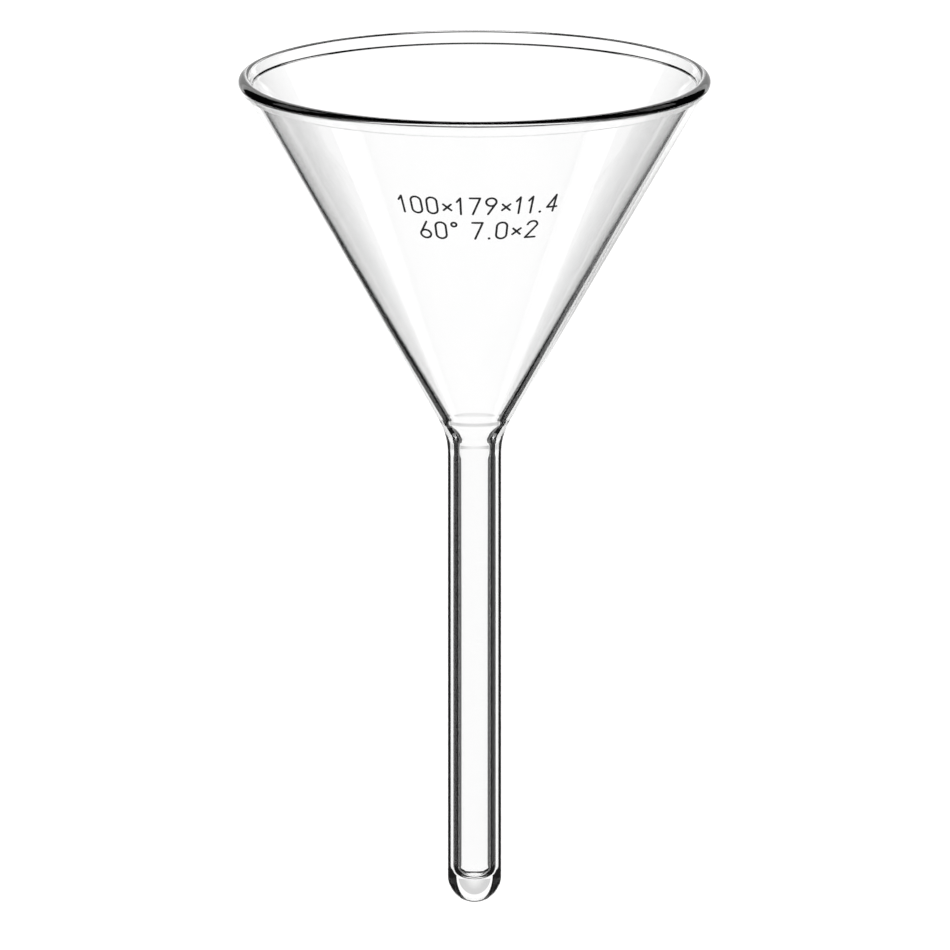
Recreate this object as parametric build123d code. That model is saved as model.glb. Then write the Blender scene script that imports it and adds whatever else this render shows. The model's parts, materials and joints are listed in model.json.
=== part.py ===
"""Plain glass filter funnel with a long, round-ended stem.

One wall of glass turned about +Z: a 60 degree bowl with a fire-polished, beaded
rim, a thickened joint where the stem is fused on, a straight stem tube and
a rounded tip.  Two lines of enamel size marks are printed on the front of the bowl.

Units are millimetres.  The origin is the lowest point of the tip, on the axis.
"""
from build123d import *
import math
import os

# --- Driving dimensions -------------------------------------------------------------
RIM_DIAMETER = 100.0          # over the widest line of the rim
CONE_HALF_ANGLE = 30.0        # degrees, between the bowl's wall and the axis
CONE_WALL = 2.1               # bowl glass, square to the wall
STEM_LENGTH = 101.3           # tip to where the lines of the bowl and the stem cross
STEM_DIAMETER = 11.4
BORE_DIAMETER = 7.0

BEAD_PROUD = 0.38             # how far the bead stands off the bowl, square to the wall
BEAD_HEIGHT = 1.7             # widest line down to the bead's lower corner
BEAD_STEP_HEIGHT = 0.3        # the step from that corner back to the bowl
BEAD_CORNER_RADIUS = 0.05
BEAD_FOOT_RADIUS = 0.44
LIP_PROUD = 0.14              # the low lip inside the rim, square to the wall
LIP_DROP = 0.56               # round edge down to the lip's lower corner
LIP_TAPER_HEIGHT = 1.4        # from that corner back to the bowl
LIP_CORNER_RADIUS = 0.05
LIP_FOOT_RADIUS = 1.3

NECK_FILLET = 14.5            # outside, between the bowl and the stem
CUP_STEP = 2.0                # foot of the small cup above the bore, beyond the bore
CUP_LEAN = 0.25               # from the cup's foot out to its top
CUP_FOOT_HEIGHT = 3.2         # cup's foot above the crossing of bowl and stem
CUP_TOP_ROUNDING = 2.5
CUP_FOOT_ROUNDING = 4.0
MOUTH_DROP = 0.8              # bore's mouth below that crossing
MOUTH_ROUNDING = 4.0

TIP_FLOOR = 5.3               # glass under the bore's floor, on the axis
FLOOR_RADIUS = 2.6            # rounding around the bore's floor

TIP_SEAM_RISE = 1.2           # seam above the rounding of the bore's floor
NECK_SEAM_DROP = 1.5          # seam below the neck's outer fillet
BOWL_SEAM_RISE = 6.0          # seam above the cup
RIM_SEAM_DROP = 1.6           # seam below the bead and the lip

PRINT_THICKNESS = 0.08        # fired enamel
PRINT_STROKE = 0.46
PRINT_CAP_HEIGHT = 4.95       # along the wall
PRINT_DIGIT_WIDTH = 2.65
PRINT_PITCH = 3.3             # width that a full-width character takes up
PRINT_TURN = 1.4              # degrees off the front, towards +X
PRINT_LINE_GAP = 1.7          # clear height between the two lines
UPPER_MARK_DEPTH = 22.3       # top of the rim down to the upper line's foot
UPPER_MARK = "100x179x11.4"
LOWER_MARK = "60o 7.0x2"

# --- Derived sizes ------------------------------------------------------------------
CONE_TILT = math.radians(CONE_HALF_ANGLE)
CONE_SLOPE = math.tan(CONE_TILT)
WALL_ACROSS = CONE_WALL / math.cos(CONE_TILT)
STEM_RADIUS = STEM_DIAMETER / 2
BORE_RADIUS = BORE_DIAMETER / 2
APEX_Z = STEM_LENGTH - STEM_RADIUS / CONE_SLOPE
BEAD_ACROSS = BEAD_PROUD / math.cos(CONE_TILT)
LIP_ACROSS = LIP_PROUD / math.cos(CONE_TILT)
EDGE_RADIUS = (CONE_WALL + BEAD_PROUD + LIP_PROUD) / 2   # full round over lip, wall and bead
EDGE_CENTRE_RADIUS = RIM_DIAMETER / 2 - EDGE_RADIUS
RIM_Z = APEX_Z + (EDGE_CENTRE_RADIUS + EDGE_RADIUS / math.cos(CONE_TILT) - BEAD_ACROSS) / CONE_SLOPE
TOP_Z = RIM_Z + EDGE_RADIUS
BEAD_CORNER_Z = RIM_Z - BEAD_HEIGHT
BEAD_FOOT_Z = BEAD_CORNER_Z - BEAD_STEP_HEIGHT
LIP_CORNER_Z = RIM_Z + EDGE_RADIUS * math.sin(CONE_TILT) - LIP_DROP
LIP_FOOT_Z = LIP_CORNER_Z - LIP_TAPER_HEIGHT

FILLET_REACH = NECK_FILLET * math.tan(CONE_TILT / 2)
CUP_FOOT = (BORE_RADIUS + CUP_STEP, STEM_LENGTH + CUP_FOOT_HEIGHT)
CUP_TOP_RADIUS = CUP_FOOT[0] + CUP_LEAN
CUP_TOP = (CUP_TOP_RADIUS, APEX_Z + (CUP_TOP_RADIUS + WALL_ACROSS) / CONE_SLOPE)
MOUTH = (BORE_RADIUS, STEM_LENGTH - MOUTH_DROP)

TIP_SEAM_Z = TIP_FLOOR + FLOOR_RADIUS + TIP_SEAM_RISE
NECK_SEAM_Z = STEM_LENGTH - FILLET_REACH - NECK_SEAM_DROP
BOWL_SEAM_Z = CUP_TOP[1] + BOWL_SEAM_RISE
RIM_SEAM_Z = min(BEAD_FOOT_Z, LIP_FOOT_Z) - RIM_SEAM_DROP
LOWER_MARK_DEPTH = UPPER_MARK_DEPTH + PRINT_CAP_HEIGHT * math.cos(CONE_TILT) + PRINT_LINE_GAP


def outer_radius(height):
    """Radius of the bowl's outer wall at a height."""
    return (height - APEX_Z) * CONE_SLOPE


def inner_radius(height):
    """Radius of the bowl's inner wall at a height."""
    return outer_radius(height) - WALL_ACROSS


def outer_point(height):
    """Point of the bowl's outer wall at a height."""
    return (outer_radius(height), height)


def inner_point(height):
    """Point of the bowl's inner wall at a height."""
    return (inner_radius(height), height)


def softened(*corners):
    """Lines through corners of radius, height and rounding, joined by tangent arcs."""
    points = [Vector(radius, height) for radius, height, _ in corners]
    run = []
    at = points[0]
    for before, corner, after, (_, _, rounding) in zip(points, points[1:], points[2:], corners[1:]):
        back = (before - corner).normalized()
        ahead = (after - corner).normalized()
        reach = rounding / math.tan(math.radians(back.get_angle(ahead)) / 2)
        start = corner + back * reach
        end = corner + ahead * reach
        run += [Line(at, start), TangentArc(start, end, tangent=-back)]
        at = end
    return run + [Line(at, points[-1])]


def turned(outline):
    """A solid of revolution about +Z from lines and arcs drawn on the XZ plane."""
    return revolve(Plane.XZ * make_face(outline), Axis.Z)


# --- Glass --------------------------------------------------------------------------
def rim_bead():
    """The fire-polished rim: a full-round edge over a stepped bead outside and a low lip inside."""
    along = EDGE_RADIUS * math.cos(CONE_TILT)
    drop = EDGE_RADIUS * math.sin(CONE_TILT)
    edge_outside = (EDGE_CENTRE_RADIUS + along, RIM_Z - drop)
    edge_inside = (EDGE_CENTRE_RADIUS - along, RIM_Z + drop)
    bead_corner = (outer_radius(BEAD_CORNER_Z) + BEAD_ACROSS, BEAD_CORNER_Z)
    lip_corner = (inner_radius(LIP_CORNER_Z) - LIP_ACROSS, LIP_CORNER_Z)
    outside = softened(
        (*outer_point(RIM_SEAM_Z), 0),
        (*outer_point(BEAD_FOOT_Z), BEAD_FOOT_RADIUS),
        (*bead_corner, BEAD_CORNER_RADIUS),
        (*edge_outside, 0),
    )
    inside = softened(
        (*edge_inside, 0),
        (*lip_corner, LIP_CORNER_RADIUS),
        (*inner_point(LIP_FOOT_Z), LIP_FOOT_RADIUS),
        (*inner_point(RIM_SEAM_Z), 0),
    )
    return turned(outside + inside + [
        ThreePointArc(edge_outside, (EDGE_CENTRE_RADIUS, TOP_Z), edge_inside),
        Line(inner_point(RIM_SEAM_Z), outer_point(RIM_SEAM_Z)),
    ])


def bowl_cone():
    """The even wall of the bowl between the neck and the rim."""
    return turned(Polyline(
        outer_point(BOWL_SEAM_Z),
        outer_point(RIM_SEAM_Z),
        inner_point(RIM_SEAM_Z),
        inner_point(BOWL_SEAM_Z),
        close=True,
    ))


def neck_joint():
    """The thick fused joint: filleted outside, with a small cup above the bore inside."""
    outside = softened(
        (STEM_RADIUS, NECK_SEAM_Z, 0),
        (STEM_RADIUS, STEM_LENGTH, NECK_FILLET),
        (*outer_point(BOWL_SEAM_Z), 0),
    )
    inside = softened(
        (*inner_point(BOWL_SEAM_Z), 0),
        (*CUP_TOP, CUP_TOP_ROUNDING),
        (*CUP_FOOT, CUP_FOOT_ROUNDING),
        (*MOUTH, MOUTH_ROUNDING),
        (BORE_RADIUS, NECK_SEAM_Z, 0),
    )
    return turned(outside + inside + [
        Line(outer_point(BOWL_SEAM_Z), inner_point(BOWL_SEAM_Z)),
        Line((BORE_RADIUS, NECK_SEAM_Z), (STEM_RADIUS, NECK_SEAM_Z)),
    ])


def stem_tube():
    """The straight tube between the neck and the tip."""
    length = NECK_SEAM_Z - TIP_SEAM_Z
    bottom = (Align.CENTER, Align.CENTER, Align.MIN)
    outside = Cylinder(STEM_RADIUS, length, align=bottom)
    bore = Cylinder(BORE_RADIUS, length, align=bottom)
    return Pos(0, 0, TIP_SEAM_Z) * (outside - bore)


def round_tip():
    """The round end, with the rounded floor of the bore."""
    ball_side = (STEM_RADIUS, STEM_RADIUS)
    inside = softened(
        (BORE_RADIUS, TIP_SEAM_Z, 0),
        (BORE_RADIUS, TIP_FLOOR, FLOOR_RADIUS),
        (0, TIP_FLOOR, 0),
    )
    return turned(inside + [
        TangentArc((0, 0), ball_side, tangent=(1, 0)),
        Line(ball_side, (STEM_RADIUS, TIP_SEAM_Z)),
        Line((STEM_RADIUS, TIP_SEAM_Z), (BORE_RADIUS, TIP_SEAM_Z)),
        Line((0, TIP_FLOOR), (0, 0)),
    ])


# --- Printed marks ------------------------------------------------------------------
HALF_WIDTH = (PRINT_DIGIT_WIDTH - PRINT_STROKE) / 2   # to the middle of an upright stroke
LINE_TOP = PRINT_CAP_HEIGHT - PRINT_STROKE / 2        # middle of a stroke along the top
LINE_FOOT = PRINT_STROKE / 2                          # middle of a stroke along the foot


def stroke(start, end):
    """A round-ended line of enamel between two points."""
    run = end[0] - start[0]
    rise = end[1] - start[1]
    middle = ((start[0] + end[0]) / 2, (start[1] + end[1]) / 2)
    slot = SlotCenterToCenter(math.hypot(run, rise), PRINT_STROKE)
    return Pos(*middle) * Rot(0, 0, math.degrees(math.atan2(rise, run))) * slot


def ring(radius, height):
    """A circle of enamel; the radius is to the middle of its line."""
    band = Circle(radius + PRINT_STROKE / 2) - Circle(radius - PRINT_STROKE / 2)
    return Pos(0, height) * band


def zero():
    """A tall slot-shaped nought."""
    both_sides = 2 * PRINT_STROKE
    outside = SlotOverall(PRINT_CAP_HEIGHT, PRINT_DIGIT_WIDTH, rotation=90)
    inside = SlotOverall(PRINT_CAP_HEIGHT - both_sides, PRINT_DIGIT_WIDTH - both_sides, rotation=90)
    return Pos(0, PRINT_CAP_HEIGHT / 2) * (outside - inside)


def one():
    """An upright with a flag."""
    flag = (-HALF_WIDTH * 0.7, LINE_TOP - HALF_WIDTH)
    return stroke((0, LINE_FOOT), (0, LINE_TOP)) + stroke(flag, (0, LINE_TOP))


def two():
    """A half-round head, a slanted stroke and a foot."""
    head_z = LINE_TOP - HALF_WIDTH
    upper_half = Pos(0, head_z + HALF_WIDTH) * Rectangle(4 * HALF_WIDTH, 2 * HALF_WIDTH)
    head = ring(HALF_WIDTH, head_z) & upper_half
    slant = stroke((HALF_WIDTH, head_z), (-HALF_WIDTH, LINE_FOOT))
    return head + slant + stroke((-HALF_WIDTH, LINE_FOOT), (HALF_WIDTH, LINE_FOOT))


def four():
    """A slanted stroke, a bar and an upright leg."""
    bar_z = LINE_FOOT + HALF_WIDTH * 1.1
    leg_x = HALF_WIDTH * 0.4
    slant = stroke((leg_x, LINE_TOP), (-HALF_WIDTH, bar_z))
    bar = stroke((-HALF_WIDTH, bar_z), (HALF_WIDTH, bar_z))
    return slant + bar + stroke((leg_x, LINE_FOOT), (leg_x, LINE_TOP))


def six():
    """A round bowl with a slanted back."""
    back = stroke((-HALF_WIDTH * 0.94, LINE_FOOT + HALF_WIDTH * 1.3), (HALF_WIDTH * 0.5, LINE_TOP))
    return ring(HALF_WIDTH, LINE_FOOT + HALF_WIDTH) + back


def seven():
    """A bar with a slanted leg."""
    leg = stroke((HALF_WIDTH, LINE_TOP), (-HALF_WIDTH * 0.4, LINE_FOOT))
    return stroke((-HALF_WIDTH, LINE_TOP), (HALF_WIDTH, LINE_TOP)) + leg


def eight():
    """Two rounds, the upper one smaller so that the two share one line."""
    upper = (LINE_TOP - LINE_FOOT) / 2 - HALF_WIDTH
    lower_ring = ring(HALF_WIDTH, LINE_FOOT + HALF_WIDTH)
    return lower_ring + ring(upper, LINE_TOP - upper)


def nine():
    """A six turned upside down."""
    return Pos(0, PRINT_CAP_HEIGHT) * Rot(0, 0, 180) * six()


def times():
    """A small diagonal cross at mid-height."""
    reach = HALF_WIDTH * 0.75
    middle = PRINT_CAP_HEIGHT * 0.42
    rising = stroke((-reach, middle - reach), (reach, middle + reach))
    return rising + stroke((-reach, middle + reach), (reach, middle - reach))


def point():
    """A round dot on the line."""
    return Pos(0, LINE_FOOT * 1.3) * Circle(PRINT_STROKE * 0.65)


def degree():
    """A small raised ring."""
    radius = HALF_WIDTH * 0.5
    return ring(radius, LINE_TOP - radius)


# The shape of each character and the share of the full width that it takes up.
CHARACTERS = {
    "0": (zero, 1.0),
    "1": (one, 0.78),
    "2": (two, 1.0),
    "4": (four, 1.0),
    "6": (six, 1.0),
    "7": (seven, 1.0),
    "8": (eight, 1.0),
    "9": (nine, 1.0),
    "x": (times, 0.9),
    ".": (point, 0.5),
    "o": (degree, 0.65),
    " ": (None, 0.6),
}


def enamel_layer():
    """The thin layer on the bowl's outer wall that the marks are cut from."""
    low_z = TOP_Z - LOWER_MARK_DEPTH - PRINT_CAP_HEIGHT
    high_z = TOP_Z - UPPER_MARK_DEPTH + 2 * PRINT_CAP_HEIGHT
    layer = PRINT_THICKNESS / math.cos(CONE_TILT)
    corners = [
        (outer_radius(low_z), low_z),
        (outer_radius(low_z) + layer, low_z),
        (outer_radius(high_z) + layer, high_z),
        (outer_radius(high_z), high_z),
    ]
    return turned(Polyline(*corners, close=True))


def printed_line(text, depth):
    """One line of marks, centred on the front and following the round of the bowl."""
    layer = enamel_layer()
    foot_z = TOP_Z - depth
    radius = outer_radius(foot_z)
    widths = [CHARACTERS[name][1] * PRINT_PITCH for name in text]
    marks = []
    for index, name in enumerate(text):
        shape = CHARACTERS[name][0]
        if shape is None:
            continue
        along = sum(widths[:index]) + widths[index] / 2 - sum(widths) / 2
        turn = math.radians(PRINT_TURN) + along / radius
        side = Vector(math.cos(turn), math.sin(turn), 0)
        outward = Vector(math.sin(turn), -math.cos(turn), 0)
        normal = outward * math.cos(CONE_TILT) - Vector(0, 0, math.sin(CONE_TILT))
        seat = Plane(outward * radius + Vector(0, 0, foot_z), x_dir=side, z_dir=normal)
        mark = extrude(seat * shape(), PRINT_CAP_HEIGHT / 4, both=True)
        marks.extend((mark & layer).solids())
    return Compound(marks)


# --- Build --------------------------------------------------------------------------
PIECES = {
    "rim_bead": rim_bead(),
    "bowl_cone": bowl_cone(),
    "neck_joint": neck_joint(),
    "stem_tube": stem_tube(),
    "round_tip": round_tip(),
    "upper_size_mark": printed_line(UPPER_MARK, UPPER_MARK_DEPTH),
    "lower_size_mark": printed_line(LOWER_MARK, LOWER_MARK_DEPTH),
}

os.makedirs("parts", exist_ok=True)
for node, shape in PIECES.items():
    export_step(shape, f"parts/{node}.step")
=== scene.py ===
"""Looks for a plain laboratory funnel turned from clear borosilicate glass.

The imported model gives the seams, the rim and the stem; each length of the glass wall
is turned again here with a fine profile, because clear glass shows every facet.
"""

import json
import logging
import math
from dataclasses import dataclass, field
from enum import Enum
from typing import Any

import bmesh
import bpy
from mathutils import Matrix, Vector

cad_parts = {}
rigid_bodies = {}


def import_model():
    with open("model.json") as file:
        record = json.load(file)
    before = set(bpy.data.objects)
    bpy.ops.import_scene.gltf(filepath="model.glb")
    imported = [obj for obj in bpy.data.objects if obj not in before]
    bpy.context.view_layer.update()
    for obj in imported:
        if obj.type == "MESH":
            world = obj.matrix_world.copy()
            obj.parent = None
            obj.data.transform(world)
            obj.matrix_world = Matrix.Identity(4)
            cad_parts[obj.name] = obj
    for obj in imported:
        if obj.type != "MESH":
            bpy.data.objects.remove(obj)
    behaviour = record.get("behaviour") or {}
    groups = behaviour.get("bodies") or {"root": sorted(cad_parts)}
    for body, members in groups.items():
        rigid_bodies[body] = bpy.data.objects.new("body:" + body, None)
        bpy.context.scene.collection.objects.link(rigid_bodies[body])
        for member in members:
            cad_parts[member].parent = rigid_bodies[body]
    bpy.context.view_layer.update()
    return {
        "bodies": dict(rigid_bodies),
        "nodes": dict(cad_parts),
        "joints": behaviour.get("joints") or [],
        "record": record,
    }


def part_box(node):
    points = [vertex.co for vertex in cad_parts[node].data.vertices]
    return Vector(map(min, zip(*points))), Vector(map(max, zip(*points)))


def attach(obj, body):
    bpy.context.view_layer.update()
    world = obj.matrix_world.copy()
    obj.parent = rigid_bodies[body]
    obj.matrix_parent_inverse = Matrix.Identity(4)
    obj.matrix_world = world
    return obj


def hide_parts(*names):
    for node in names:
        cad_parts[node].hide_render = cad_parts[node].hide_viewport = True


LOG = logging.getLogger("funnel")
MM = 0.001
WHITE = (1.0, 1.0, 1.0, 1.0)


class Slot(Enum):
    """Material slots of the record."""

    GLASS = "glass"
    ENAMEL = "enamel"


# --- Shader maths -------------------------------------------------------------------
class Term:
    """A shader socket that adds Math nodes when it is used in an expression."""

    def __init__(self, graph: "Graph", socket: bpy.types.NodeSocket) -> None:
        """Wrap one output socket.

        Args:
            graph: The graph that the socket belongs to.
            socket: The output socket.
        """
        self.graph = graph
        self.socket = socket

    def _math(self, operation: str, *values: Any) -> "Term":
        """Add one Math node.

        Args:
            operation: The node's operation.
            values: Numbers or terms for its inputs, in order.

        Returns:
            The node's result.
        """
        return self.graph.add("ShaderNodeMath", {"operation": operation}, dict(enumerate(values)))

    def __add__(self, other: Any) -> "Term":
        """Sum of two values."""
        return self._math("ADD", self, other)

    def __rsub__(self, other: Any) -> "Term":
        """Difference with the number first."""
        return self._math("SUBTRACT", other, self)

    def __mul__(self, other: Any) -> "Term":
        """Product of two values."""
        return self._math("MULTIPLY", self, other)

    def __truediv__(self, other: Any) -> "Term":
        """Quotient of two values."""
        return self._math("DIVIDE", self, other)

    def __pow__(self, other: Any) -> "Term":
        """Power of a value."""
        return self._math("POWER", self, other)

    __radd__ = __add__
    __rmul__ = __mul__

    def smooth(self, low: float, high: float) -> "Term":
        """Soft step from 0 at low to 1 at high.

        Args:
            low: The value that gives 0.
            high: The value that gives 1.

        Returns:
            The soft step.
        """
        return self.graph.add(
            "ShaderNodeMapRange",
            {"interpolation_type": "SMOOTHSTEP"},
            {0: self, 1: low, 2: high, 3: 0.0, 4: 1.0},
        )


class Graph:
    """A node tree under construction."""

    def __init__(self, tree: bpy.types.NodeTree) -> None:
        """Empty the tree and keep it.

        Args:
            tree: The node tree of a material or the world.
        """
        self.tree = tree
        tree.nodes.clear()

    def add(
        self,
        kind: str,
        settings: dict[str, Any] | None = None,
        values: dict[Any, Any] | None = None,
        output: int | str = 0,
    ) -> Term:
        """Add one node, set it up and connect it.

        Args:
            kind: The node's type.
            settings: Attributes of the node, set first.
            values: Numbers, colours or terms for its inputs, by index or name.
            output: The output to return.

        Returns:
            The chosen output.
        """
        node = self.tree.nodes.new(kind)
        for name, value in (settings or {}).items():
            setattr(node, name, value)
        for name, value in (values or {}).items():
            if isinstance(value, Term):
                self.tree.links.new(value.socket, node.inputs[name])
            else:
                node.inputs[name].default_value = value
        return Term(self, node.outputs[output])

    def output(self, kind: str, shader: Term) -> None:
        """Add the tree's output node.

        Args:
            kind: The output node's type.
            shader: The shader that it shows.
        """
        node = self.tree.nodes.new(kind)
        self.tree.links.new(shader.socket, node.inputs[0])

    def place(self) -> tuple[Term, Term, Term]:
        """Object coordinates as three numbers.

        Returns:
            X, Y and Z, in metres.
        """
        where = self.add("ShaderNodeTexCoord", output="Object")
        node = self.add("ShaderNodeSeparateXYZ", values={0: where}).socket.node
        return tuple(Term(self, socket) for socket in node.outputs)

    def mix(self, share: Any, first: Any, second: Any) -> Term:
        """Blend two shaders.

        Args:
            share: How much of the second one shows.
            first: The first shader.
            second: The second shader.

        Returns:
            The blended shader.
        """
        return self.add("ShaderNodeMixShader", values={0: share, 1: first, 2: second})


# --- Finishes -----------------------------------------------------------------------
def new_material(name: str) -> tuple[bpy.types.Material, Graph]:
    """Make an empty node material.

    Args:
        name: The material's name.

    Returns:
        The material and its graph.
    """
    material = bpy.data.materials.new(name)
    material.use_nodes = True
    return material, Graph(material.node_tree)


@dataclass(frozen=True)
class ClearGlass:
    """Fire-polished borosilicate glass, with the faint draw lines of hot-worked tube.

    The draw lines run up the wall: a slow noise, long along the axis, bends the
    surface by about a hundredth of a degree and takes a trace of the light away.
    """

    index: float = 1.473
    clear: tuple[float, float, float, float] = WHITE
    veiled: tuple[float, float, float, float] = (0.991, 0.993, 0.993, 1.0)
    lines_per_metre: float = 90.0
    stretch: float = 0.12
    veil_start: float = 0.5
    veil_full: float = 0.75
    wave_height: float = 0.001 * MM

    def material(self) -> bpy.types.Material:
        """Make the glass.

        Returns:
            The material.
        """
        material, graph = new_material("clear_borosilicate")
        where = graph.add("ShaderNodeTexCoord", output="Object")
        drawn = graph.add(
            "ShaderNodeMapping",
            values={"Vector": where, "Scale": (1.0, 1.0, self.stretch)},
        )
        wave = graph.add(
            "ShaderNodeTexNoise",
            values={"Vector": drawn, "Scale": self.lines_per_metre, "Detail": 1.0},
        )
        tint = graph.add(
            "ShaderNodeMix",
            {"data_type": "RGBA"},
            {0: wave.smooth(self.veil_start, self.veil_full), 6: self.clear, 7: self.veiled},
            output=2,
        )
        bump = graph.add("ShaderNodeBump", values={"Distance": self.wave_height, "Height": wave})
        shader = graph.add(
            "ShaderNodeBsdfPrincipled",
            values={
                "Base Color": tint,
                "Roughness": 0.0,
                "IOR": self.index,
                "Transmission Weight": 1.0,
                "Normal": bump,
            },
        )
        graph.output("ShaderNodeOutputMaterial", shader)
        return material


@dataclass(frozen=True)
class FusedSeam:
    """The level face where two lengths of the wall are one glass: it shows nothing."""

    def material(self) -> bpy.types.Material:
        """Make the unseen face.

        Returns:
            The material.
        """
        material, graph = new_material("fused_seam")
        shader = graph.add("ShaderNodeBsdfPrincipled", values={"Alpha": 0.0})
        graph.output("ShaderNodeOutputMaterial", shader)
        return material


@dataclass(frozen=True)
class FiredEnamel:
    """Grey-black enamel print, a little mottled, with a satin grain."""

    dark: tuple[float, float, float, float] = (0.03, 0.031, 0.034, 1.0)
    worn: tuple[float, float, float, float] = (0.075, 0.077, 0.08, 1.0)
    grain: float = 900.0
    wear_start: float = 0.4
    wear_full: float = 0.7
    smoothest: float = 0.4
    roughness_range: float = 0.25
    bump_strength: float = 0.2
    bump_height: float = 0.03 * MM

    def material(self) -> bpy.types.Material:
        """Make the print.

        Returns:
            The material.
        """
        material, graph = new_material("fired_enamel")
        where = graph.add("ShaderNodeTexCoord", output="Object")
        mottle = graph.add(
            "ShaderNodeTexNoise",
            values={"Vector": where, "Scale": self.grain, "Detail": 3.0},
        )
        colour = graph.add(
            "ShaderNodeMix",
            {"data_type": "RGBA"},
            {0: mottle.smooth(self.wear_start, self.wear_full), 6: self.dark, 7: self.worn},
            output=2,
        )
        bump = graph.add(
            "ShaderNodeBump",
            values={"Strength": self.bump_strength, "Distance": self.bump_height, "Height": mottle},
        )
        shader = graph.add(
            "ShaderNodeBsdfPrincipled",
            values={
                "Base Color": colour,
                "Roughness": self.smoothest + mottle * self.roughness_range,
                "Normal": bump,
            },
        )
        graph.output("ShaderNodeOutputMaterial", shader)
        return material


# --- Turned glass -------------------------------------------------------------------
@dataclass(frozen=True)
class Wall:
    """Sizes of the glass wall in metres; heights are above the tip."""

    cone_half_angle: float = math.radians(30.0)
    cone_wall: float = 2.1 * MM
    bore_radius: float = 3.5 * MM
    bead_proud: float = 0.38 * MM
    bead_height: float = 1.7 * MM
    bead_step_height: float = 0.3 * MM
    bead_corner_radius: float = 0.05 * MM
    bead_foot_radius: float = 0.44 * MM
    lip_proud: float = 0.14 * MM
    lip_drop: float = 0.56 * MM
    lip_taper_height: float = 1.4 * MM
    lip_corner_radius: float = 0.05 * MM
    lip_foot_radius: float = 1.3 * MM
    neck_fillet: float = 14.5 * MM
    neck_seam_drop: float = 1.5 * MM
    cup_step: float = 2.0 * MM
    cup_lean: float = 0.25 * MM
    cup_foot_height: float = 3.2 * MM
    cup_top_rounding: float = 2.5 * MM
    cup_foot_rounding: float = 4.0 * MM
    mouth_drop: float = 0.8 * MM
    mouth_rounding: float = 4.0 * MM
    tip_floor: float = 5.3 * MM
    floor_radius: float = 2.6 * MM
    stem_radius: float = field(default_factory=lambda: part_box("stem_tube")[1].x)
    rim_radius: float = field(default_factory=lambda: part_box("rim_bead")[1].x)
    tip_seam: float = field(default_factory=lambda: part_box("stem_tube")[0].z)
    neck_seam: float = field(default_factory=lambda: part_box("stem_tube")[1].z)
    bowl_seam: float = field(default_factory=lambda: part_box("bowl_cone")[0].z)
    rim_seam: float = field(default_factory=lambda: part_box("bowl_cone")[1].z)

    @property
    def slope(self) -> float:
        """Radius that the cone gains per unit of height."""
        return math.tan(self.cone_half_angle)

    @property
    def junction(self) -> float:
        """Height where the outer lines of the bowl and the stem cross."""
        fillet_reach = self.neck_fillet * math.tan(self.cone_half_angle / 2)
        return self.neck_seam + self.neck_seam_drop + fillet_reach

    @property
    def edge_radius(self) -> float:
        """Radius of the rim's round edge, which takes in the lip, the wall and the bead."""
        return (self.cone_wall + self.bead_proud + self.lip_proud) / 2

    @property
    def edge_centre(self) -> Vector:
        """Centre of the rim's round edge, as radius and height."""
        radius = self.rim_radius - self.edge_radius
        along = radius + (self.edge_radius - self.bead_proud) / math.cos(self.cone_half_angle)
        return Vector((radius, self.junction + (along - self.stem_radius) / self.slope))

    def outer(self, height: float, proud: float = 0.0) -> tuple[float, float]:
        """Point of the cone's outer line.

        Args:
            height: Its height.
            proud: How far the point stands off the cone, square to the wall.

        Returns:
            Radius and height.
        """
        radius = self.stem_radius + (height - self.junction) * self.slope
        return radius + proud / math.cos(self.cone_half_angle), height

    def inner(self, height: float, proud: float = 0.0) -> tuple[float, float]:
        """Point of the cone's inner line, or of a line that stands off it towards the axis."""
        return self.outer(height, -self.cone_wall - proud)

    @property
    def cup(self) -> tuple[tuple[float, float, float], ...]:
        """Corners of the inside from the cup's top to the bore's mouth.

        Returns:
            Radius, height and rounding of each corner, from the top down.
        """
        foot = self.bore_radius + self.cup_step
        top = foot + self.cup_lean
        across = self.cone_wall / math.cos(self.cone_half_angle)
        top_height = self.junction + (top + across - self.stem_radius) / self.slope
        return (
            (top, top_height, self.cup_top_rounding),
            (foot, self.junction + self.cup_foot_height, self.cup_foot_rounding),
            (self.bore_radius, self.junction - self.mouth_drop, self.mouth_rounding),
        )


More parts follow.
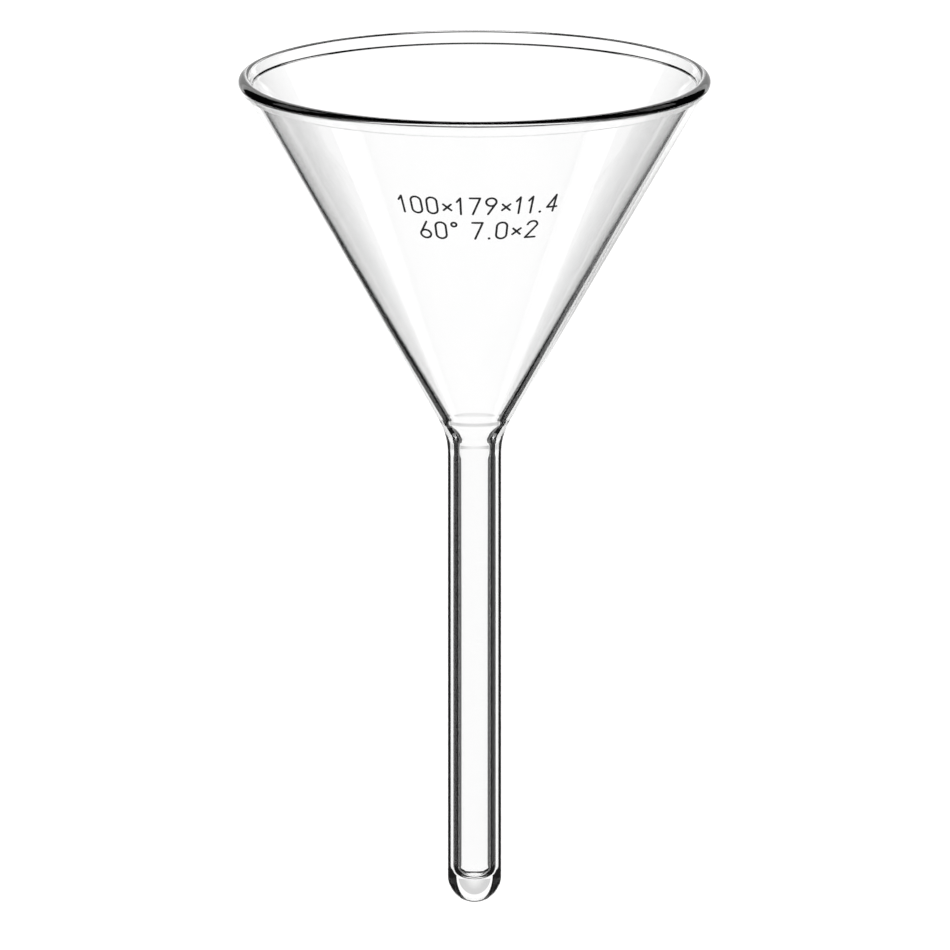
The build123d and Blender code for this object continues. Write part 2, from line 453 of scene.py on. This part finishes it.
class Lathe:
    """A profile drawn on the XZ half-plane and turned about the Z axis."""

    STEPS = 288
    ARC_STEP = math.radians(3.0)
    ARC_LEAST = 4
    HOLD = 0.25 * MM
    CREASE = math.radians(11.0)
    SEAM_REACH = 1e-6
    WELD_REACH = 1e-7

    def __init__(self, radius: float, height: float) -> None:
        """Start the profile at a point.

        Args:
            radius: Distance from the axis.
            height: Height above the tip.
        """
        self.mesh = bmesh.new()
        self.first = self.mesh.verts.new((radius, 0.0, height))
        self.last = self.first

    def _step(self, place: Vector) -> None:
        """Extrude the profile's end to a place."""
        self.last = bmesh.ops.extrude_vert_indiv(self.mesh, verts=[self.last])["verts"][0]
        self.last.co = place

    def line(self, radius: float, height: float) -> "Lathe":
        """Draw a straight run, with a holding point near each end.

        Args:
            radius: Distance of its end from the axis.
            height: Height of its end.

        Returns:
            The lathe itself.
        """
        start = self.last.co.copy()
        end = Vector((radius, 0.0, height))
        run = end - start
        if run.length > 4 * self.HOLD:
            hold = run.normalized() * self.HOLD
            self._step(start + hold)
            self._step(end - hold)
        self._step(end)
        return self

    def arc(self, radius: float, height: float, turn: float) -> "Lathe":
        """Draw an arc about a centre.

        Args:
            radius: Distance of the centre from the axis.
            height: Height of the centre.
            turn: Signed angle; positive turns from up towards the outside.

        Returns:
            The lathe itself.
        """
        steps = max(self.ARC_LEAST, math.ceil(abs(turn) / self.ARC_STEP))
        made = bmesh.ops.spin(
            self.mesh,
            geom=[self.last],
            cent=(radius, 0.0, height),
            axis=(0.0, 1.0, 0.0),
            angle=turn,
            steps=steps,
        )
        self.last = next(item for item in made["geom_last"] if isinstance(item, bmesh.types.BMVert))
        return self

    def through(self, *corners: tuple[float, ...]) -> "Lathe":
        """Draw straight runs through corners, with a tangent arc at each rounded one.

        Args:
            corners: Radius, height and, for a rounded corner, its rounding.

        Returns:
            The lathe itself.
        """
        for corner, after in zip(corners, corners[1:] + corners[-1:]):
            if len(corner) < 3:
                self.line(*corner)
                continue
            point = Vector(corner[:2])
            back = (Vector(self.last.co.xz) - point).normalized()
            ahead = (Vector(after[:2]) - point).normalized()
            half = back.angle(ahead) / 2
            reach = corner[2] / math.tan(half)
            centre = point + (back + ahead).normalized() * corner[2] / math.sin(half)
            start = point + back * reach
            self.line(*start)
            self.arc(*centre, (start - centre).angle_signed(point + ahead * reach - centre))
        return self

    def _fused(self, face: bmesh.types.BMFace, seams: tuple[float, ...]) -> bool:
        """Whether a face is level and lies at one of the seams."""
        heights = {round(vert.co.z, 7) for vert in face.verts}
        return len(heights) == 1 and any(abs(min(heights) - seam) < self.SEAM_REACH for seam in seams)

    def turned(self, name: str, seams: tuple[float, ...]) -> bpy.types.Object:
        """Close the profile, turn it and make the object.

        Args:
            name: The object's name.
            seams: Heights of the level faces that are fused to a neighbour.

        Returns:
            The new object, with its fused faces on a second material slot.
        """
        mesh = self.mesh
        if self.first.co.x > 0.0 or self.last.co.x > 0.0:
            mesh.edges.new((self.last, self.first))
        bmesh.ops.spin(
            mesh,
            geom=mesh.verts[:] + mesh.edges[:],
            cent=(0.0, 0.0, 0.0),
            axis=(0.0, 0.0, 1.0),
            angle=math.tau,
            steps=self.STEPS,
            use_merge=True,
        )
        bmesh.ops.remove_doubles(mesh, verts=mesh.verts, dist=self.WELD_REACH)
        bmesh.ops.recalc_face_normals(mesh, faces=mesh.faces)
        for face in mesh.faces:
            face.smooth = True
            face.material_index = int(self._fused(face, seams))
        for edge in mesh.edges:
            edge.smooth = edge.calc_face_angle(0.0) < self.CREASE
        data = bpy.data.meshes.new(name)
        mesh.to_mesh(data)
        mesh.free()
        piece = bpy.data.objects.new(name, data)
        bpy.context.scene.collection.objects.link(piece)
        return piece


@dataclass
class GlassBody:
    """The five fused lengths of the funnel's wall."""

    wall: Wall
    glass: bpy.types.Material
    seam: bpy.types.Material

    def rim_bead(self) -> bpy.types.Object:
        """Turn the round edge over its bead outside and its low lip inside.

        Returns:
            The length of wall.
        """
        wall = self.wall
        tilt = wall.cone_half_angle
        side = Vector((math.cos(tilt), -math.sin(tilt))) * wall.edge_radius
        corner = wall.edge_centre.y - wall.bead_height
        lip = wall.edge_centre.y - side.y - wall.lip_drop
        lathe = Lathe(*wall.outer(wall.rim_seam))
        lathe.through(
            (*wall.outer(corner - wall.bead_step_height), wall.bead_foot_radius),
            (*wall.outer(corner, wall.bead_proud), wall.bead_corner_radius),
            tuple(wall.edge_centre + side),
        )
        lathe.arc(*wall.edge_centre, -math.pi)
        lathe.through(
            (*wall.inner(lip, wall.lip_proud), wall.lip_corner_radius),
            (*wall.inner(lip - wall.lip_taper_height), wall.lip_foot_radius),
            wall.inner(wall.rim_seam),
        )
        return lathe.turned("rim_bead_glass", (wall.rim_seam,))

    def bowl(self) -> bpy.types.Object:
        """Turn the even wall of the bowl.

        Returns:
            The length of wall.
        """
        wall = self.wall
        lathe = Lathe(*wall.outer(wall.bowl_seam))
        lathe.through(wall.outer(wall.rim_seam), wall.inner(wall.rim_seam), wall.inner(wall.bowl_seam))
        return lathe.turned("bowl_glass", (wall.bowl_seam, wall.rim_seam))

    def neck(self) -> bpy.types.Object:
        """Turn the thick joint with its small cup above the bore.

        Returns:
            The length of wall.
        """
        wall = self.wall
        lathe = Lathe(wall.stem_radius, wall.neck_seam)
        lathe.through((wall.stem_radius, wall.junction, wall.neck_fillet), wall.outer(wall.bowl_seam))
        lathe.through(wall.inner(wall.bowl_seam))
        lathe.through(*wall.cup, (wall.bore_radius, wall.neck_seam))
        return lathe.turned("neck_glass", (wall.neck_seam, wall.bowl_seam))

    def stem(self) -> bpy.types.Object:
        """Turn the straight tube.

        Returns:
            The length of wall.
        """
        wall = self.wall
        lathe = Lathe(wall.stem_radius, wall.tip_seam)
        lathe.through(
            (wall.stem_radius, wall.neck_seam),
            (wall.bore_radius, wall.neck_seam),
            (wall.bore_radius, wall.tip_seam),
        )
        return lathe.turned("stem_glass", (wall.tip_seam, wall.neck_seam))

    def tip(self) -> bpy.types.Object:
        """Turn the round end and the rounded floor of the bore.

        Returns:
            The length of wall.
        """
        wall = self.wall
        lathe = Lathe(0.0, 0.0)
        lathe.arc(0.0, wall.stem_radius, -math.pi / 2)
        lathe.through(
            (wall.stem_radius, wall.tip_seam),
            (wall.bore_radius, wall.tip_seam),
            (wall.bore_radius, wall.tip_floor, wall.floor_radius),
            (0.0, wall.tip_floor),
        )
        return lathe.turned("tip_glass", (wall.tip_seam,))

    def build(self) -> None:
        """Turn, dress and mount every length of the wall."""
        lengths = {
            "rim_bead": self.rim_bead(),
            "bowl_cone": self.bowl(),
            "neck_joint": self.neck(),
            "stem_tube": self.stem(),
            "round_tip": self.tip(),
        }
        for node, piece in lengths.items():
            piece.data.materials.append(self.glass)
            piece.data.materials.append(self.seam)
            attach(piece, "root")
            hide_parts(node)
            LOG.info("%s: %d faces", piece.name, len(piece.data.polygons))


# --- Studio -------------------------------------------------------------------------
@dataclass(frozen=True)
class Camera:
    """A long lens that looks down a little on the rim."""

    elevation: float = math.radians(12.05)
    distance: float = 8.8
    picture_width: float = 0.20127
    aim_height: float = 0.0926
    aim_side: float = 0.0001
    sensor: float = 36.0

    def build(self) -> bpy.types.Object:
        """Make the camera and use it.

        Returns:
            The camera.
        """
        data = bpy.data.cameras.new("camera")
        data.sensor_width = self.sensor
        data.lens = self.sensor * self.distance / self.picture_width
        data.clip_end = 200.0
        camera = bpy.data.objects.new("camera", data)
        bpy.context.scene.collection.objects.link(camera)
        ahead = Vector((0.0, math.cos(self.elevation), -math.sin(self.elevation)))
        camera.location = Vector((self.aim_side, 0.0, self.aim_height)) - ahead * self.distance
        camera.rotation_mode = "QUATERNION"
        camera.rotation_quaternion = ahead.to_track_quat("-Z", "Y")
        bpy.context.scene.camera = camera
        return camera


@dataclass(frozen=True)
class Panel:
    """A flat luminous panel with equal halves, carried by the camera.

    Its outline gives the corners of the right half, from the top down, as degrees
    sideways and degrees up from the panel's own middle, seen from the funnel.
    """

    name: str
    outline: tuple[tuple[float, float], ...]
    strength: float
    lift: float = 0.0
    turn: float = 0.0
    reach: float = 60.0
    shaded: bool = False

    WALL_HALF_WIDTH = 26.0
    WALL_HALF_HEIGHT = 32.5
    WALL_FOOT = (4.8, 6.0)
    WALL_FADE = (0.05, 0.72)
    WALL_EDGE = (0.97, 1.03)
    WALL_DARKENING = 0.3

    def build(self, camera: bpy.types.Object, distance: float) -> bpy.types.Object:
        """Make the panel and hang it on the camera.

        Args:
            camera: The camera that carries the panel round the funnel.
            distance: Distance from the camera to the funnel.

        Returns:
            The panel.
        """
        mesh = bmesh.new()
        around = self.outline + tuple((-side, up) for side, up in reversed(self.outline))
        ring = [mesh.verts.new((self.spread(side), self.spread(up), 0.0)) for side, up in around]
        bmesh.ops.contextual_create(mesh, geom=ring)
        data = bpy.data.meshes.new(self.name)
        mesh.to_mesh(data)
        mesh.free()
        panel = bpy.data.objects.new(self.name, data)
        bpy.context.scene.collection.objects.link(panel)
        rise = math.radians(self.lift)
        turn = math.radians(self.turn)
        level = math.cos(rise)
        aim = Vector((math.sin(turn) * level, math.sin(rise), -math.cos(turn) * level))
        panel.parent = camera
        panel.location = Vector((0.0, 0.0, -distance)) + aim * self.reach
        panel.rotation_mode = "QUATERNION"
        panel.rotation_quaternion = aim.to_track_quat("Z", "Y")
        panel.visible_camera = False
        panel.visible_shadow = False
        data.materials.append(self.light())
        return panel

    def spread(self, degrees: float) -> float:
        """Distance on the panel that is seen as an angle from its middle."""
        return math.tan(math.radians(degrees)) * self.reach

    def light(self) -> bpy.types.Material:
        """Make the panel's light, even or with the grey wall's shading.

        Returns:
            The material.
        """
        material, graph = new_material(f"{self.name}_light")
        strength: Any = self.strength
        if self.shaded:
            strength = self.wall_shading(graph)
        glow = graph.add("ShaderNodeEmission", values={1: strength})
        graph.output("ShaderNodeOutputMaterial", glow)
        return material

    def wall_shading(self, graph: Graph) -> Term:
        """White floor below, a grey round of wall above it, and white around that.

        Args:
            graph: The graph of the panel's material.

        Returns:
            The panel's strength over its surface.
        """
        across, along, _ = graph.place()
        side = across / self.spread(self.WALL_HALF_WIDTH)
        up = along / self.spread(self.WALL_HALF_HEIGHT)
        from_middle = (side * side + up * up) ** 0.5
        grey = 1.0 - self.WALL_DARKENING * from_middle.smooth(*self.WALL_FADE)
        above = along.smooth(*(self.spread(edge) for edge in self.WALL_FOOT))
        inside = (1.0 - from_middle.smooth(*self.WALL_EDGE)) * above
        return self.strength - inside * (self.strength - grey)


# Right halves of the panels' outlines: degrees sideways, degrees up.
SWEEP = (
    (30.0, 62.0),
    (30.0, 0.5),
    (20.0, -1.0),
    (20.0, -13.0),
    (10.0, -22.0),
    (9.0, -26.0),
)
TABLE = ((9.0, -38.0), (9.0, -52.0))
TABLE_EDGE = ((45.0, 7.0), (45.0, -7.0))
SIDE_LIGHT = ((17.0, 10.0), (17.0, -10.0))
SIDE_WALL = ((32.0, 0.5), (32.0, -14.0))


@dataclass
class Studio:
    """White sweep behind the glass, darkness beside it, a pale floor and a soft front light."""

    camera: Camera = field(default_factory=Camera)
    panels: tuple[Panel, ...] = (
        Panel("sweep", SWEEP, 1.12, shaded=True),
        Panel("table", TABLE, 1.06, reach=61.0),
        Panel("side_wall", SIDE_WALL, 0.155, reach=62.0),
        Panel("table_edge", TABLE_EDGE, 1.1, lift=-69.0),
        Panel("left_light", SIDE_LIGHT, 0.9, lift=38.0, turn=-72.0),
        Panel("right_light", SIDE_LIGHT, 0.9, lift=38.0, turn=72.0),
        Panel("room_below", ((50.0, 30.0), (50.0, -30.0)), 0.3, lift=-100.0),
        Panel("room_front", ((60.0, 30.0), (60.0, -30.0)), 0.3, lift=143.0),
    )
    darkness: float = 0.012
    floor_height: float = -0.5
    floor_radius: float = 60.0
    floor_segments: int = 96
    floor_glow: float = 0.98
    floor_colour: tuple[float, float, float, float] = (0.9, 0.9, 0.9, 1.0)
    lamp_size: float = 1.5
    lamp_power: float = 60.0
    lamp_rise: float = 1.2

    def floor(self) -> bpy.types.Object:
        """Make the pale floor: white to the camera, clear from below.

        Returns:
            The floor.
        """
        mesh = bmesh.new()
        bmesh.ops.create_circle(
            mesh,
            cap_ends=True,
            segments=self.floor_segments,
            radius=self.floor_radius,
        )
        bmesh.ops.translate(mesh, vec=(0.0, 0.0, self.floor_height), verts=mesh.verts)
        data = bpy.data.meshes.new("floor")
        mesh.to_mesh(data)
        mesh.free()
        floor = bpy.data.objects.new("floor", data)
        bpy.context.scene.collection.objects.link(floor)
        floor.visible_glossy = False
        floor.visible_transmission = False
        material, graph = new_material("pale_floor")
        matt = graph.add("ShaderNodeBsdfDiffuse", values={0: self.floor_colour})
        path = graph.add("ShaderNodeLightPath", output="Is Camera Ray")
        glow = graph.add("ShaderNodeEmission", values={1: path * self.floor_glow})
        lit = graph.add("ShaderNodeAddShader", values={0: matt, 1: glow})
        below = graph.add("ShaderNodeNewGeometry", output="Backfacing")
        gone = graph.add("ShaderNodeBsdfTransparent")
        graph.output("ShaderNodeOutputMaterial", graph.mix(below, lit, gone))
        data.materials.append(material)
        return floor

    def world(self) -> None:
        """White to the camera, dark to everything else."""
        world = bpy.data.worlds.new("studio")
        world.use_nodes = True
        graph = Graph(world.node_tree)
        path = graph.add("ShaderNodeLightPath", output="Is Camera Ray")
        dim = (self.darkness, self.darkness, self.darkness, 1.0)
        dark = graph.add("ShaderNodeBackground", values={0: dim})
        white = graph.add("ShaderNodeBackground", values={0: WHITE})
        graph.output("ShaderNodeOutputWorld", graph.mix(path, dark, white))
        bpy.context.scene.world = world

    def front_light(self, camera: bpy.types.Object) -> None:
        """Hang a soft box above the camera, which lights the print but leaves no mark on the glass.

        Args:
            camera: The camera that carries the soft box.
        """
        data = bpy.data.lights.new("front_light", "AREA")
        data.size = self.lamp_size
        data.energy = self.lamp_power
        lamp = bpy.data.objects.new("front_light", data)
        bpy.context.scene.collection.objects.link(lamp)
        lamp.parent = camera
        lamp.location = (0.0, self.lamp_rise, 0.0)
        lamp.rotation_euler = (-math.atan2(self.lamp_rise, self.camera.distance), 0.0, 0.0)
        lamp.visible_glossy = False
        lamp.visible_transmission = False
        lamp.visible_camera = False

    def build(self) -> None:
        """Set up the camera, the panels, the floor, the world and the lamp."""
        camera = self.camera.build()
        for panel in self.panels:
            panel.build(camera, self.camera.distance)
        self.floor()
        self.world()
        self.front_light(camera)
        bpy.context.scene.view_settings.view_transform = "Standard"


@dataclass
class Marks:
    """The two printed lines, which keep the model's own solids."""

    nodes: tuple[str, ...] = ("upper_size_mark", "lower_size_mark")

    def dress(self, frame: dict[str, Any], enamel: bpy.types.Material) -> None:
        """Give the printed lines their enamel.

        Args:
            frame: The loaded model.
            enamel: The enamel.
        """
        for node in self.nodes:
            for slot in frame["nodes"][node].material_slots:
                slot.material = enamel
            LOG.info("%s: enamel", node)


def corners(box: tuple[Vector, Vector]) -> list[list[float]]:
    """A box as plain lists of numbers."""
    return [list(corner) for corner in box]


def main() -> None:
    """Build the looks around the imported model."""
    logging.basicConfig(level=logging.INFO)
    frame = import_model()
    Studio().build()
    GlassBody(Wall(), ClearGlass().material(), FusedSeam().material()).build()
    Marks().dress(frame, FiredEnamel().material())


if __name__ == "__main__":
    main()
